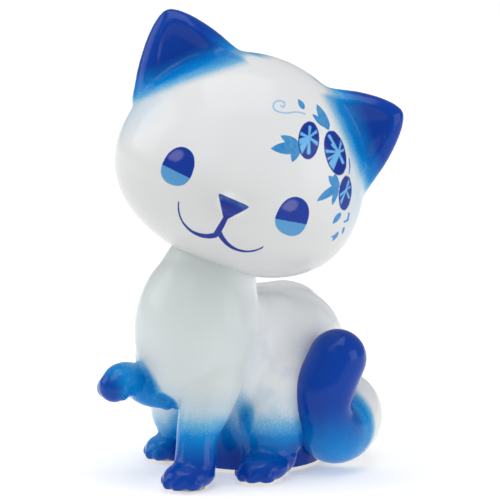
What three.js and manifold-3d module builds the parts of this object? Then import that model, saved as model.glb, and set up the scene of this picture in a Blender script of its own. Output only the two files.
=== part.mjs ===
// Glazed ceramic figurine of a seated kitten: body facing -Y, left side at +X, head turned and tilted over
// its left shoulder, right forepaw raised, tail curled up against the left haunch. It is an assembly of slip
// castings that are luted together before firing: a hollow torso, a hollow head, two ears, four legs and a
// tail, each ending in a face that follows its neighbour. Four felt pads under it keep the unglazed base off
// the shelf.
// Millimetres, +Z up, origin at the middle of the footprint's box, on the surface that the pads stand on.
import * as THREE from "three";
import { mergeVertices } from "three/addons/utils/BufferGeometryUtils.js";
import Module from "manifold-3d";

const wasm = await Module();
wasm.setup();

// ---- Driving dimensions ----------------------------------------------------------------------------------

// Castings
const wall = 3; // cast wall of the two hollow pieces
const jointGap = 0.3; // luting line between neighbouring castings
const ventDiameter = 8; // hole in the underside that lets the kiln's heat out of the hollow
const airwayDiameter = 9; // hole in the head's floor that joins its hollow to the torso's

// Pads
const padDiameter = 8;
const padThickness = 0.8;

// Torso
const bodyLength = 28; // from the middle of the chest back to the middle of the rump
const chestHeight = 36; // height of the middle of the chest
const rumpHeight = 30; // height of the middle of the rump
const seatHeight = 11; // height of the widest part of the seat
const chestSize = [32, 33, 43]; // width, depth and height
const waistSize = [28, 34, 32];
const rumpSize = [34, 32]; // width and depth
const seatSize = [40, 34];
const neckDiameter = 20; // where it meets the head
const neckRootDiameter = 28; // where it leaves the chest
const neckLength = 21; // above the middle of the chest

// Head
const headWidth = 63.2;
const headHeight = 54.2;
const headDepth = 53;
const headTurn = 40; // degrees to the kitten's left
const headNod = 10; // degrees, face upwards
const headTilt = 23.5; // degrees, left ear down
const headSink = 5; // how far the neck runs into the head
const headForward = 3; // of the neck, along the face's own axis
const headAside = 1.9; // of the neck, to the kitten's right
const cheekDrop = 4.3; // how far the widest level of the head is below its middle
const cheekFullness = 2.2; // how square the head is below that level, where 2 is an ellipse
const muzzleWidth = 13; // of the swelling round the mouth, from its middle to where it fades
const muzzleHeight = 9;
const muzzleRise = 3.4;
const noseSize = [7, 5, 4.4];

// Ears
const earHeight = 17.6; // from the middle of the root to where the rounded tip starts
const earLean = 42; // degrees from the head's own upright
const earWidth = 31.4; // across the root
const earThickness = 13; // at the root
const earTipRadius = 2.8;
const earTipAngle = 46; // of the cap, from the ear's axis
const earCupDepth = 4.6;

// Legs
const forelegSpread = 8.8; // each foreleg's distance from the midline, at the wrist
const forelegDiameter = 10.6; // of the standing one, above the foot
const shoulderDiameter = 17;
const forearmDiameter = 9;
const raisedReach = 25; // from the chest's middle forward to the end of the raised paw
const raisedHeight = 24; // of the raised paw's middle
const thighDiameter = 22;
const kneeSpread = 13.6; // of each knee, from the midline
const hindFootSpread = 16;
const hindFootStagger = 3; // how far the right hind foot stands behind the left one
const footSize = [11.4, 15, 8.6]; // width, length and height of a standing foot
const toeDiameter = 4;
const toeCount = 4;

// Tail
const tailRootDiameter = 19;
const tailBendDiameter = 22;
const tailWaistDiameter = 15.2;
const tailTipDiameter = 17.2;
const tailTipHeight = 28.4; // of the middle of the rounded tip
const tailAside = 26; // from the midline to the tail's standing part

// Facets
const fine = 28; // steps round a large outer form
const coarse = 18; // steps round a limb, an ear or the muzzle
const hollowSteps = 14; // steps round a hollow's form
const toeSteps = 8; // round a toe

// ---- Solids ----------------------------------------------------------------------------------------------

// A closed geometry as a solid that can be joined and cut.
function solid(geometry) {
  const bare = new THREE.BufferGeometry();
  bare.setAttribute("position", geometry.getAttribute("position"));
  bare.setIndex(geometry.getIndex());
  const merged = mergeVertices(bare, 1e-4);
  return new wasm.Manifold(
    new wasm.Mesh({
      numProp: 3,
      vertProperties: new Float32Array(merged.attributes.position.array),
      triVerts: new Uint32Array(merged.index.array),
    }),
  );
}

// A solid as a geometry with one normal for each facet.
function geometryOf(manifold) {
  const { numProp, numVert, vertProperties, triVerts } = manifold.getMesh();
  const points = new Float32Array(numVert * 3);
  for (let i = 0; i < numVert; i++) {
    points.set(vertProperties.subarray(i * numProp, i * numProp + 3), i * 3);
  }
  const geometry = new THREE.BufferGeometry();
  geometry.setAttribute("position", new THREE.BufferAttribute(points, 3));
  geometry.setIndex(new THREE.BufferAttribute(new Uint32Array(triVerts), 1));
  geometry.computeVertexNormals();
  return geometry;
}

// Each form below is a function of how far it is grown all round and of its steps, so that one description
// gives a casting's outside, its hollow and the clearance that its neighbours are cut to.

// An ellipsoid of a full size, at a place in a frame.
function ball(at, size, frame = new THREE.Matrix4()) {
  return (grow, steps) => {
    const geometry = new THREE.SphereGeometry(1, steps, Math.round(steps * 0.6));
    geometry.rotateX(Math.PI / 2);
    geometry.scale(size[0] / 2 + grow, size[1] / 2 + grow, size[2] / 2 + grow);
    geometry.translate(...at);
    return solid(geometry.applyMatrix4(frame));
  };
}

// A round or flattened limb with rounded ends, along a smooth curve through its stations. Each station has a
// place, a width and, where it is flattened, a thickness along the facing direction. The far end's cap starts
// at an angle from the limb's axis, in degrees, so that a tapering limb runs into its cap without a step.
function limb(stations, facing = [0, 0, 1], frame = new THREE.Matrix4(), capFrom = 90) {
  return (grow, steps) => {
    const spine = new THREE.CatmullRomCurve3(stations.map(({ at }) => new THREE.Vector3(...at)));
    const girth = new THREE.CatmullRomCurve3(
      stations.map(({ wide, thick = wide }) => new THREE.Vector3(wide / 2 + grow, thick / 2 + grow, 0)),
    );
    const spans = 3 * (stations.length - 1);
    const capSteps = 4;
    const rings = [];
    const normal = new THREE.Vector3(...facing);
    const start = THREE.MathUtils.degToRad(capFrom);
    const ringAt = (t, shift, share) => {
      const tangent = spine.getTangent(t);
      const { x: halfWide, y: halfThick } = girth.getPoint(t);
      normal.addScaledVector(tangent, -normal.dot(tangent)).normalize();
      const across = new THREE.Vector3().crossVectors(tangent, normal);
      const centre = spine.getPoint(t).addScaledVector(tangent, shift * Math.min(halfWide, halfThick));
      const ring = [];
      for (let i = 0; i < steps; i++) {
        const angle = (2 * Math.PI * i) / steps;
        const point = centre.clone();
        point.addScaledVector(across, Math.cos(angle) * halfWide * share);
        point.addScaledVector(normal, Math.sin(angle) * halfThick * share);
        ring.push(point);
      }
      return { ring, centre };
    };
    for (let k = 1; k < capSteps; k++) {
      const angle = (Math.PI / 2) * (k / capSteps);
      rings.push(ringAt(0, -Math.cos(angle), Math.sin(angle)));
    }
    for (let k = 0; k <= spans; k++) rings.push(ringAt(k / spans, 0, 1));
    for (let k = capSteps - 1; k > 0; k--) {
      const angle = start * (k / capSteps);
      const shift = (Math.cos(angle) - Math.cos(start)) / Math.sin(start);
      rings.push(ringAt(1, shift, Math.sin(angle) / Math.sin(start)));
    }
    const points = rings.flatMap(({ ring }) => ring);
    const first = points.length;
    points.push(ringAt(0, -1, 0).centre, ringAt(1, (1 - Math.cos(start)) / Math.sin(start), 0).centre);
    const index = [];
    for (let i = 0; i < steps; i++) {
      const next = (i + 1) % steps;
      for (let k = 0; k + 1 < rings.length; k++) {
        const [a, b, c, d] = [k * steps + i, k * steps + next, (k + 1) * steps + next, (k + 1) * steps + i];
        index.push(a, c, b, a, d, c);
      }
      const last = (rings.length - 1) * steps;
      index.push(first, i, next, first + 1, last + next, last + i);
    }
    const geometry = new THREE.BufferGeometry().setFromPoints(points);
    geometry.setIndex(index);
    return solid(geometry.applyMatrix4(frame));
  };
}

// The forms of a list joined into one solid.
function fuse(forms, grow = 0, steps = fine) {
  return forms.map((form) => form(grow, steps)).reduce((a, b) => a.add(b));
}

// A round bar along an axis, for holes and pads.
function bar(diameter, length, at, direction = new THREE.Vector3(0, 0, 1)) {
  const geometry = new THREE.CylinderGeometry(diameter / 2, diameter / 2, length, 32);
  geometry.applyQuaternion(new THREE.Quaternion().setFromUnitVectors(new THREE.Vector3(0, 1, 0), direction));
  return solid(geometry.translate(...at));
}

// Everything under the level where the castings' flat undersides lie.
function belowBase() {
  const reach = 400;
  return solid(new THREE.BoxGeometry(reach, reach, reach).translate(0, 0, padThickness - reach / 2));
}

// ---- Torso -----------------------------------------------------------------------------------------------

const chestAt = [0, -0.4 * bodyLength, chestHeight];
const rumpAt = [0, chestAt[1] + bodyLength, rumpHeight];
const seatAt = [0, rumpAt[1] - 0.27 * bodyLength, seatHeight];
const waistAt = [0, (chestAt[1] + rumpAt[1]) / 2, (chestHeight + rumpHeight) / 2 - 4];
const neckTop = [1, chestAt[1] + 5.6, chestHeight + neckLength];
const neckRoot = [0, chestAt[1] + 1.6, chestHeight + neckLength / 3];

const torsoForms = [
  ball(chestAt, chestSize),
  ball(waistAt, waistSize),
  limb(
    [
      { at: [0, seatAt[1], seatHeight - 3], wide: seatSize[0], thick: seatSize[1] },
      { at: [0, seatAt[1] + 2.2, seatHeight + 7], wide: seatSize[0] - 1, thick: seatSize[1] },
      { at: rumpAt, wide: rumpSize[0], thick: rumpSize[1] },
    ],
    [0, -1, 0],
  ),
  limb([
    { at: [neckRoot[0], neckRoot[1], chestHeight], wide: neckRootDiameter },
    { at: neckRoot, wide: neckRootDiameter },
    { at: neckTop, wide: neckDiameter },
    { at: [neckTop[0] + 1, neckTop[1] + 1, neckTop[2] + 2 * wall], wide: neckDiameter },
  ]),
];

// ---- Head ------------------------------------------------------------------------------------------------

// The head's own frame: X to the viewer's right across the face, Y up through the crown, Z out of the face.
function headFrame() {
  const turn = THREE.MathUtils.degToRad(headTurn);
  const upright = new THREE.Matrix4().makeRotationX(Math.PI / 2);
  const nod = new THREE.Matrix4().makeRotationX(-THREE.MathUtils.degToRad(headNod));
  const tilt = new THREE.Matrix4().makeRotationZ(-THREE.MathUtils.degToRad(headTilt));
  const axes = new THREE.Matrix4().makeRotationZ(turn).multiply(upright).multiply(nod).multiply(tilt);
  const seat = new THREE.Vector3(-headAside, headHeight / 2 - headSink, headForward).applyMatrix4(axes);
  return new THREE.Matrix4().makeTranslation(seat.add(new THREE.Vector3(...neckTop))).multiply(axes);
}

// The head is one rounded form: an egg that is widest and squarest low down, with a swelling for the muzzle.
const muzzleAt = [0.5, 0.27 - 0.31 * headHeight];

function headForm(grow, steps) {
  const geometry = new THREE.SphereGeometry(1, steps, Math.round(steps * 0.75));
  const points = geometry.getAttribute("position");
  const half = [headWidth / 2 + grow, headHeight / 2 + grow, headDepth / 2 + grow];
  const level = (y) => y * (half[1] + Math.sign(y) * cheekDrop) - cheekDrop;
  for (let i = 0; i < points.count; i++) {
    const [x, y, z] = [points.getX(i), points.getY(i), points.getZ(i)];
    const round = Math.sqrt(Math.max(1 - y * y, 0));
    const square = Math.max(1 - Math.abs(y) ** cheekFullness, 0) ** (1 / cheekFullness);
    const fuller = y < 0 && round > 1e-6 ? square / round : 1;
    const across = (x * fuller * half[0] - muzzleAt[0]) / muzzleWidth;
    const up = (level(y) - muzzleAt[1]) / muzzleHeight;
    const rise = z > 0 ? muzzleRise * Math.exp(-across * across - up * up) : 0;
    points.setXYZ(i, x * fuller * half[0], level(y), z * fuller * half[2] + rise);
  }
  return solid(geometry.applyMatrix4(headAt));
}

const headAt = headFrame();
const noseAt = [1.4, muzzleAt[1] + 5.2, headDepth / 2 + 1];
const headForms = [headForm];
const noseForm = ball(noseAt, noseSize, headAt);

// ---- Ears ------------------------------------------------------------------------------------------------

const lean = THREE.MathUtils.degToRad(earLean);
const earRoot = [0.31 * headWidth, 0.245 * headHeight]; // the middle of the ear's root, inside the head

// A point along an ear, from its root at 0 to the middle of its rounded tip at 1.
function alongEar(side, share, forward = 0) {
  const out = share * earHeight;
  return [side * (earRoot[0] + out * Math.sin(lean)), earRoot[1] + out * Math.cos(lean), forward];
}

function earForms(side) {
  return [
    limb(
      [
        { at: alongEar(side, 0), wide: earWidth, thick: earThickness },
        { at: alongEar(side, 0.5), wide: 0.69 * earWidth, thick: 0.76 * earThickness },
        { at: alongEar(side, 0.8), wide: 0.37 * earWidth, thick: 0.56 * earThickness },
        { at: alongEar(side, 1), wide: 1.5 * earTipRadius, thick: 1.4 * earTipRadius },
      ],
      [0, 0, 1],
      headAt,
      earTipAngle,
    ),
  ];
}

// The hollow in the front of an ear.
function earCup(side) {
  const front = earThickness / 2;
  const form = limb(
    [
      { at: alongEar(side, 0, front), wide: 0.72 * earWidth, thick: 2 * earCupDepth },
      { at: alongEar(side, 0.45, 0.84 * front), wide: 0.48 * earWidth, thick: 1.7 * earCupDepth },
      { at: alongEar(side, 0.8, 0.62 * front), wide: 0.12 * earWidth, thick: 0.8 * earCupDepth },
    ],
    [0, 0, 1],
    headAt,
    earTipAngle,
  );
  return form(0, hollowSteps);
}

// ---- Legs ------------------------------------------------------------------------------------------------

// A standing foot: a rounded paw with a row of toes across its front. Heel to toe runs along -Y.
function footForms(x, y) {
  const [width, length, height] = footSize;
  const forms = [ball([x, y, height / 2 - 0.4], [width, length, height])];
  for (let i = 0; i < toeCount; i++) {
    const across = (i + 0.5) / toeCount - 0.5;
    const back = 3.2 * across * across * length * 0.4;
    forms.push(
      ball([x + across * width * 0.94, y - 0.36 * length + back, 0.3 * height], [
        toeDiameter,
        1.4 * toeDiameter,
        1.15 * toeDiameter,
      ]),
    );
  }
  return forms;
}

const chestFront = chestAt[1] - chestSize[1] / 2;
const wristAt = [forelegSpread, chestFront + 4.2, 6];
const standingForms = [
  limb([
    { at: [forelegSpread - 1.8, chestAt[1] - 2.5, chestHeight - 7], wide: shoulderDiameter },
    { at: [forelegSpread - 1.1, chestFront + 10.2, chestHeight - 16], wide: 14 },
    { at: [forelegSpread - 0.6, chestFront + 6.2, 12.5], wide: forelegDiameter },
    { at: wristAt, wide: forelegDiameter - 0.4 },
  ]),
];
const standingFoot = [wristAt[0] + 0.7, wristAt[1] - 2.6];

const pawEnd = chestAt[1] - raisedReach;
const raisedForms = [
  limb([
    { at: [-forelegSpread + 0.8, chestAt[1] - 2.5, chestHeight - 7], wide: shoulderDiameter },
    { at: [-forelegSpread - 1.2, chestAt[1] - 6, raisedHeight - 2.2], wide: 11 },
    { at: [-forelegSpread - 1.2, pawEnd + 12.5, raisedHeight], wide: forearmDiameter },
    { at: [-forelegSpread - 0.7, pawEnd + 6, raisedHeight + 1], wide: forearmDiameter },
    { at: [-forelegSpread - 0.7, pawEnd + 3.8, raisedHeight], wide: forearmDiameter - 1 },
  ]),
];

// The toes of the raised paw hang from the end of the forearm.
function raisedToes() {
  const forms = [];
  for (let i = 0; i < toeCount; i++) {
    const across = (i + 0.5) / toeCount - 0.5;
    const x = -forelegSpread - 0.7 + across * forearmDiameter;
    const y = pawEnd + 2.6 + 6 * across * across;
    forms.push(ball([x, y, raisedHeight - 0.6], [toeDiameter - 0.8, toeDiameter, 1.3 * toeDiameter]));
  }
  return forms;
}

function thighForms(side) {
  return [
    limb([
      { at: [side * 9.4, rumpAt[1] - 3, rumpHeight + 0.6], wide: thighDiameter - 0.6 },
      { at: [side * (kneeSpread - 1.4), seatAt[1] - 2.2, seatHeight + 11], wide: thighDiameter + 0.6 },
      { at: [side * kneeSpread, seatAt[1] - 8.6, seatHeight + 1.6], wide: thighDiameter - 2 },
    ]),
  ];
}
const hindFeet = {
  left: [hindFootSpread, seatAt[1] - 17],
  right: [0.8 - hindFootSpread, seatAt[1] - 17 + hindFootStagger],
};

// ---- Tail ------------------------------------------------------------------------------------------------

const tailForms = [
  limb([
    { at: [1, rumpAt[1] + 3, 11.5], wide: tailRootDiameter },
    { at: [11.5, rumpAt[1] + 8.4, 11.2], wide: tailRootDiameter },
    { at: [tailAside - 7.4, rumpAt[1] + 5, 12], wide: tailBendDiameter },
    { at: [tailAside - 1.5, rumpAt[1] - 5.5, 11], wide: tailBendDiameter - 4 },
    { at: [tailAside, rumpAt[1] - 9.6, tailTipHeight - 9], wide: tailWaistDiameter },
    { at: [tailAside + 0.6, rumpAt[1] - 8, tailTipHeight], wide: tailTipDiameter },
  ]),
];

// ---- Assembly --------------------------------------------------------------------------------------------

const glaze = new THREE.MeshStandardMaterial({ color: 0xe6e9e7, roughness: 0.18, metalness: 0 });
const blueGlaze = new THREE.MeshStandardMaterial({ color: 0x1247a5, roughness: 0.18, metalness: 0 });
const felt = new THREE.MeshStandardMaterial({ color: 0xd9d6cc, roughness: 0.95, metalness: 0 });

const kitten = new THREE.Group();

function add(name, manifold, material) {
  const mesh = new THREE.Mesh(geometryOf(manifold), material);
  mesh.name = name;
  kitten.add(mesh);
}

const under = belowBase();
const clearTorso = fuse(torsoForms, jointGap);
const clearHead = fuse(headForms, jointGap);

const headAxisDown = new THREE.Vector3(0, -1, 0).transformDirection(headAt);
const floorPlate = new THREE.BoxGeometry(2 * seatSize[0], 2 * seatSize[1], wall);
const floorFill = solid(floorPlate.translate(0, seatAt[1], padThickness + wall / 2));
const torsoHollow = fuse(torsoForms, -wall, hollowSteps).subtract(floorFill).subtract(under);
const vent = bar(ventDiameter, 4 * wall, [0, seatAt[1], padThickness]);
const torsoOutside = fuse(torsoForms).subtract(clearHead).subtract(under);
add("torso_shell", torsoOutside.subtract(torsoHollow).subtract(vent), glaze);

const airway = bar(airwayDiameter, headHeight / 2, neckTop, headAxisDown);
const headOutside = fuse(headForms).add(noseForm(0, coarse));
add("head_shell", headOutside.subtract(fuse(headForms, -wall, hollowSteps)).subtract(airway), glaze);

const sides = { left: 1, right: -1 };
for (const [side, sign] of Object.entries(sides)) {
  // The head's frame has the viewer's right as +X, which is the kitten's left.
  const ear = fuse(earForms(sign), 0, coarse).subtract(earCup(sign)).subtract(clearHead);
  add(`${side}_ear`, ear, blueGlaze);
}

const standing = fuse(standingForms, 0, coarse).add(fuse(footForms(...standingFoot), 0, toeSteps));
add("left_foreleg", standing.subtract(clearTorso).subtract(under), blueGlaze);

const raised = fuse(raisedForms, 0, coarse).add(fuse(raisedToes(), 0, toeSteps));
add("right_foreleg", raised.subtract(clearTorso), blueGlaze);

for (const [side, sign] of Object.entries(sides)) {
  const foot = fuse(footForms(...hindFeet[side]), 0, toeSteps);
  const leg = fuse(thighForms(sign), 0, coarse).add(foot);
  add(`${side}_hind_leg`, leg.subtract(clearTorso).subtract(under), blueGlaze);
}

const clearThigh = fuse(thighForms(1), jointGap, coarse);
const tail = fuse(tailForms, 0, coarse).subtract(clearTorso).subtract(clearThigh);
add("tail", tail.subtract(under), blueGlaze);

// The pads stand under the front foot, the two hind feet and the back of the seat.
const padPlaces = {
  front: standingFoot,
  left: hindFeet.left,
  right: hindFeet.right,
  rear: [0, seatAt[1] + 9],
};
for (const [name, [x, y]] of Object.entries(padPlaces)) {
  const thickness = padThickness - 0.02; // glued, with no more than the glue between pad and casting
  add(`${name}_felt_pad`, bar(padDiameter, thickness, [x, y, thickness / 2]), felt);
}

// The origin goes to the middle of the box that the figurine fills, at its foot.
const box = new THREE.Box3().setFromObject(kitten);
const middle = box.getCenter(new THREE.Vector3());
kitten.position.set(-middle.x, -middle.y, -box.min.z);

export default kitten;
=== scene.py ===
import math

import bpy
from bpy.props import FloatProperty, FloatVectorProperty, PointerProperty
from mathutils import Matrix, Vector


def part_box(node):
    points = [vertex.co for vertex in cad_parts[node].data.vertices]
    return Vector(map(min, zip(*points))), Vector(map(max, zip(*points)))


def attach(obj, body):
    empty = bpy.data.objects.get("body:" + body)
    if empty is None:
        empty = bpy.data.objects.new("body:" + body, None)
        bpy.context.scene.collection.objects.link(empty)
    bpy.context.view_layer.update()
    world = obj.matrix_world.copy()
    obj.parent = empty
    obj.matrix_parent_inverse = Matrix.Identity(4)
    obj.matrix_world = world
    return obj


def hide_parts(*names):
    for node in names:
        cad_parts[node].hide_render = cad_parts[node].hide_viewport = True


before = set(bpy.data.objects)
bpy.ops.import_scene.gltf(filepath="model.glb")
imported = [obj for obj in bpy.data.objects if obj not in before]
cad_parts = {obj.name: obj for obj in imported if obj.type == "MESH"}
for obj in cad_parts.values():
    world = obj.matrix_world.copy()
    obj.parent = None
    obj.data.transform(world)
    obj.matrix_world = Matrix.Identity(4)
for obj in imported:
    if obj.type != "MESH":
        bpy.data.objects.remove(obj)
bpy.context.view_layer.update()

bl_info = {
    "name": "Glazed kitten figurine",
    "version": (1, 0, 0),
    "blender": (4, 5, 0),
    "location": "3D View > Sidebar > Kitten",
    "description": "Models, paints and glazes a ceramic kitten around its packed castings",
    "category": "Object",
}

MM = 0.001


# ---- Places that the castings and pads give ------------------------------------------------------

def middle(node):
    low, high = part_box(node)
    return (low + high) / 2


REAR_PAD_BEHIND_SEAT = 9 * MM
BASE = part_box("torso_shell")[0].z  # the level of the unglazed underside
SEAT = middle("rear_felt_pad") - Vector((0, REAR_PAD_BEHIND_SEAT, 0))  # the middle of the seat
SEAT.z = 0
FRONT_FOOT = middle("front_felt_pad") - SEAT
LEFT_FOOT = middle("left_felt_pad") - SEAT
RIGHT_FOOT = middle("right_felt_pad") - SEAT


def seat(x, y, z):
    """A place in millimetres from the middle of the seat, on the ground, as a place in the frame."""
    return SEAT + Vector((x, y, z)) * MM


# ---- Sizes and colours that a user may change ----------------------------------------------------

def length(name, description, millimetres):
    """A setting that is shown as a length."""
    return FloatProperty(name=name, description=description, default=millimetres * MM, unit="LENGTH")


def colour(name, description, red, green, blue):
    """A setting that is shown as a colour."""
    return FloatVectorProperty(
        name=name, description=description, default=(red, green, blue), min=0, max=1, subtype="COLOR"
    )


class KittenSizes(bpy.types.PropertyGroup):
    """Lengths of the head and the ears, and how fine the meshes are"""

    head_width: length("Head width", "Across the cheeks", 63.2)
    head_height: length("Head height", "From the chin to the crown", 54.2)
    head_depth: length("Head depth", "From the face to the back of the head, without the muzzle", 53)
    cheek_drop: length("Cheek drop", "How far the head's widest level is below its middle", 4.3)
    ear_width: length("Ear width", "Across the root of an ear", 31.4)
    ear_thickness: length("Ear thickness", "Through the root of an ear", 13)
    grain: length("Grain", "Size of the mesh's faces on the castings", 0.5)


class KittenColours(bpy.types.PropertyGroup):
    """Colours of the glazes, the paints, the bare clay and the felt"""

    porcelain: colour("Porcelain", "White glaze of the head and the tail", 0.82, 0.825, 0.825)
    # Snow is painted light: a lit copy of the white glaze, brighter than glaze can be, for the flanks and
    # rump.
    painted_light_white: colour("Snow", "The brightest white, of the flanks and rump", 0.94, 0.96, 0.97)
    # Shade is painted shade: it greys the lower front of the face, as shade falls there.
    shade: colour("Shade", "The lower face, where the glaze pools", 0.69, 0.69, 0.68)
    celadon: colour("Celadon", "The faintly green white of the chest", 0.70, 0.75, 0.745)
    mist: colour("Mist", "The pale blue of the tendril", 0.38, 0.58, 0.86)
    sky: colour("Sky", "Light painted blue: thin leaves and the lower part of an eye", 0.10, 0.33, 0.62)
    leaf: colour("Leaf", "Middle painted blue", 0.025, 0.25, 0.62)
    haze: colour("Haze", "The first, thin blue of a spray over white", 0.168, 0.468, 0.716)
    azure: colour("Azure", "Sprayed middle blue", 0.001, 0.25, 0.66)
    cobalt: colour("Cobalt", "Sprayed deep blue", 0.0005, 0.050, 0.37)
    star: colour("Star", "The flowers' light rays", 0.17, 0.50, 0.86)
    glint: colour("Glint", "The soft light in an eye", 0.12, 0.13, 0.42)
    violet: colour("Violet", "The darkest painted blue, a little purple", 0.012, 0.030, 0.28)
    biscuit: colour("Biscuit", "The unglazed clay of the underside", 0.70, 0.66, 0.60)
    felt: colour("Felt", "The pads' pressed wool", 0.62, 0.60, 0.55)


def sizes():
    return bpy.context.scene.kitten_sizes


def colours():
    return bpy.context.scene.kitten_colours


# ---- Modelling -----------------------------------------------------------------------------------

LIMB_STEPS = 12  # along each span of a limb's curve, and round a quarter of it
SHARP = math.radians(50)  # edges turned less than this are shaded smooth


def activate(*pieces):
    """Selects these objects alone; the first is the active one."""
    bpy.ops.object.select_all(action="DESELECT")
    for piece in pieces:
        piece.select_set(True)
    bpy.context.view_layer.objects.active = pieces[0]


def fix_place(piece):
    """Moves an object's place, turn and size into its mesh."""
    activate(piece)
    bpy.ops.object.transform_apply(location=True, rotation=True, scale=True)
    return piece


def ball(place, size, turn=None, steps=48):
    """An ellipsoid with a full size along each of its own axes, turned where a matrix is given."""
    bpy.ops.object.select_all(action="DESELECT")
    bpy.ops.mesh.primitive_uv_sphere_add(segments=steps, ring_count=steps * 3 // 4, radius=0.5)
    form = bpy.context.object
    form.matrix_world = Matrix.Translation(place) @ (turn or Matrix()) @ Matrix.Diagonal((*size, 1))
    return fix_place(form)


def limb(stations):
    """A round limb on a smooth curve through stations of (place, width), with a ball at each end."""
    bpy.ops.object.select_all(action="DESELECT")
    bpy.ops.curve.primitive_bezier_curve_add()
    path = bpy.context.object
    path.data.bevel_depth = 1
    path.data.bevel_resolution = LIMB_STEPS
    path.data.resolution_u = LIMB_STEPS
    path.data.use_fill_caps = True
    spline = path.data.splines[0]
    spline.radius_interpolation = "CARDINAL"
    spline.bezier_points.add(len(stations) - 2)
    for point, (place, width) in zip(spline.bezier_points, stations):
        point.co = place
        point.radius = width / 2
        point.handle_left_type = point.handle_right_type = "AUTO"
    fix_place(path)
    bpy.ops.object.convert(target="MESH")
    ends = [ball(place, [width] * 3, steps=32) for place, width in (stations[0], stations[-1])]
    return [path, *ends]


def modify(piece, kind, **settings):
    """Adds a modifier, sets it and applies it."""
    activate(piece)
    modifier = piece.modifiers.new(kind.title(), kind)
    for name, value in settings.items():
        setattr(modifier, name, value)
    bpy.ops.object.modifier_apply(modifier=modifier.name)


def pick(piece, test):
    """Leaves a piece in edit mode with just the vertices selected whose place passes the test."""
    activate(piece)
    bpy.ops.object.mode_set(mode="EDIT")
    bpy.ops.mesh.select_mode(type="VERT")
    bpy.ops.mesh.select_all(action="DESELECT")
    bpy.ops.object.mode_set(mode="OBJECT")
    for vertex in piece.data.vertices:
        vertex.select = test(vertex.co)
    bpy.ops.object.mode_set(mode="EDIT")


def pull(piece, spot, move, reach):
    """Draws the skin round a spot out with a soft falloff."""
    nearest = min(piece.data.vertices, key=lambda vertex: (vertex.co - spot).length).index
    place = piece.data.vertices[nearest].co.copy()
    pick(piece, lambda co: co == place)
    bpy.ops.transform.translate(
        value=move, use_proportional_edit=True, proportional_edit_falloff="SMOOTH", proportional_size=reach
    )
    bpy.ops.object.mode_set(mode="OBJECT")


def horn(rings):
    """A closed oval form, upright along Z, through rings of (height, forward, width, thickness)."""
    height, forward, width, thickness = rings[0]
    bpy.ops.object.select_all(action="DESELECT")
    bpy.ops.mesh.primitive_circle_add(vertices=64, radius=0.5, fill_type="NGON")
    form = bpy.context.object
    bpy.ops.object.mode_set(mode="EDIT")
    bpy.ops.mesh.select_all(action="SELECT")
    bpy.ops.transform.resize(value=(width, thickness, 1))
    bpy.ops.transform.translate(value=(0, -forward, height))
    for up, ahead, wide, thick in rings[1:]:
        bpy.ops.mesh.extrude_region_move(
            TRANSFORM_OT_translate={"value": (0, forward - ahead, up - height)}
        )
        bpy.ops.transform.resize(value=(wide / width, thick / thickness, 1))
        height, forward, width, thickness = up, ahead, wide, thick
    bpy.ops.mesh.select_all(action="SELECT")
    bpy.ops.mesh.normals_make_consistent(inside=False)
    bpy.ops.object.mode_set(mode="OBJECT")
    return form


def cast(name, forms, rounding):
    """Joins forms into one closed skin and rounds its corners off."""
    activate(*forms)
    bpy.ops.object.join()
    piece = bpy.context.object
    piece.name = piece.data.name = name
    modify(piece, "REMESH", mode="VOXEL", voxel_size=sizes().grain)
    soften(piece, rounding)
    return piece


def soften(piece, rounds, where=None):
    """Smooths a piece, all over or where a test on a vertex's place is more than 0, as a share."""
    group = piece.vertex_groups.new(name="soft")
    for vertex in piece.data.vertices:
        share = where(vertex.co) if where else 1
        if share > 0:
            group.add([vertex.index], min(share, 1), "REPLACE")
    modify(piece, "SMOOTH", factor=0.5, iterations=rounds, vertex_group="soft")
    piece.vertex_groups.clear()


def carve(piece, cutter):
    """Takes another solid away from a piece."""
    modify(piece, "BOOLEAN", operation="DIFFERENCE", object=cutter, solver="EXACT")
    bpy.data.objects.remove(cutter)


def finish(piece, slot, material, *nodes):
    """Gives a finished piece its material and its body, and hides the castings that it stands for."""
    activate(piece)
    bpy.ops.object.shade_smooth_by_angle(angle=SHARP)
    piece.data.materials.clear()
    piece.data.materials.append(material)
    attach(piece, "root")
    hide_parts(*nodes)


# ---- Head ----------------------------------------------------------------------------------------

HEAD_TURN = math.radians(40)  # to the kitten's left
HEAD_NOD = math.radians(10)  # face upwards
HEAD_TILT = math.radians(23.5)  # left ear down
HEAD_SINK = 5 * MM  # how far the neck runs into the head
NECK_TOP = seat(1, -14.84, 57)
HEAD_OFFSET = -1.9 * MM  # from the top of the neck to the head's middle, across the face
HEAD_AHEAD = 3 * MM  # from the top of the neck to the head's middle, towards the face
LEVEL_SLACK = 1e-3  # how near a level of a ball of radius 1 its vertices are
EQUATOR = 1e-4  # just above the middle level of a ball of radius 1
LOW_SQUARENESS = 2.2  # 2 is round
MUZZLE = Vector((0.6, -15.5)) * MM  # its middle, across and up
MUZZLE_HALF_GAP = 6 * MM  # from its middle to the top of each half
MUZZLE_PULL = 1.9 * MM
MUZZLE_REACH = 15 * MM
NOSE = Vector((1.4, -11.33, 27.5)) * MM
NOSE_SIZE = Vector((7, 5, 4.4)) * MM
EAR_LEAN = math.radians(42)
EAR_HEIGHT = 17.6 * MM
EAR_OFFSET = 0.9 * MM  # of both ears, to the kitten's right
EAR_ASIDE = 0.31  # of the head's width, from its middle to the root of an ear
EAR_UP = 0.245  # of the head's height
EAR_LEVELS = (0, 0.15, 0.3, 0.45, 0.6, 0.7, 0.8, 0.88, 0.94, 0.98, 1.01, 1.03, 1.045, 1.054)  # of its height
EAR_CLOSE = 1.06  # the level at which an ear's tapers meet
EAR_TAPERS = (0.64, 0.42)  # powers of the tapers of its width and thickness
EAR_BURIED = -0.3  # the level at which an ear starts inside the head
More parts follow.
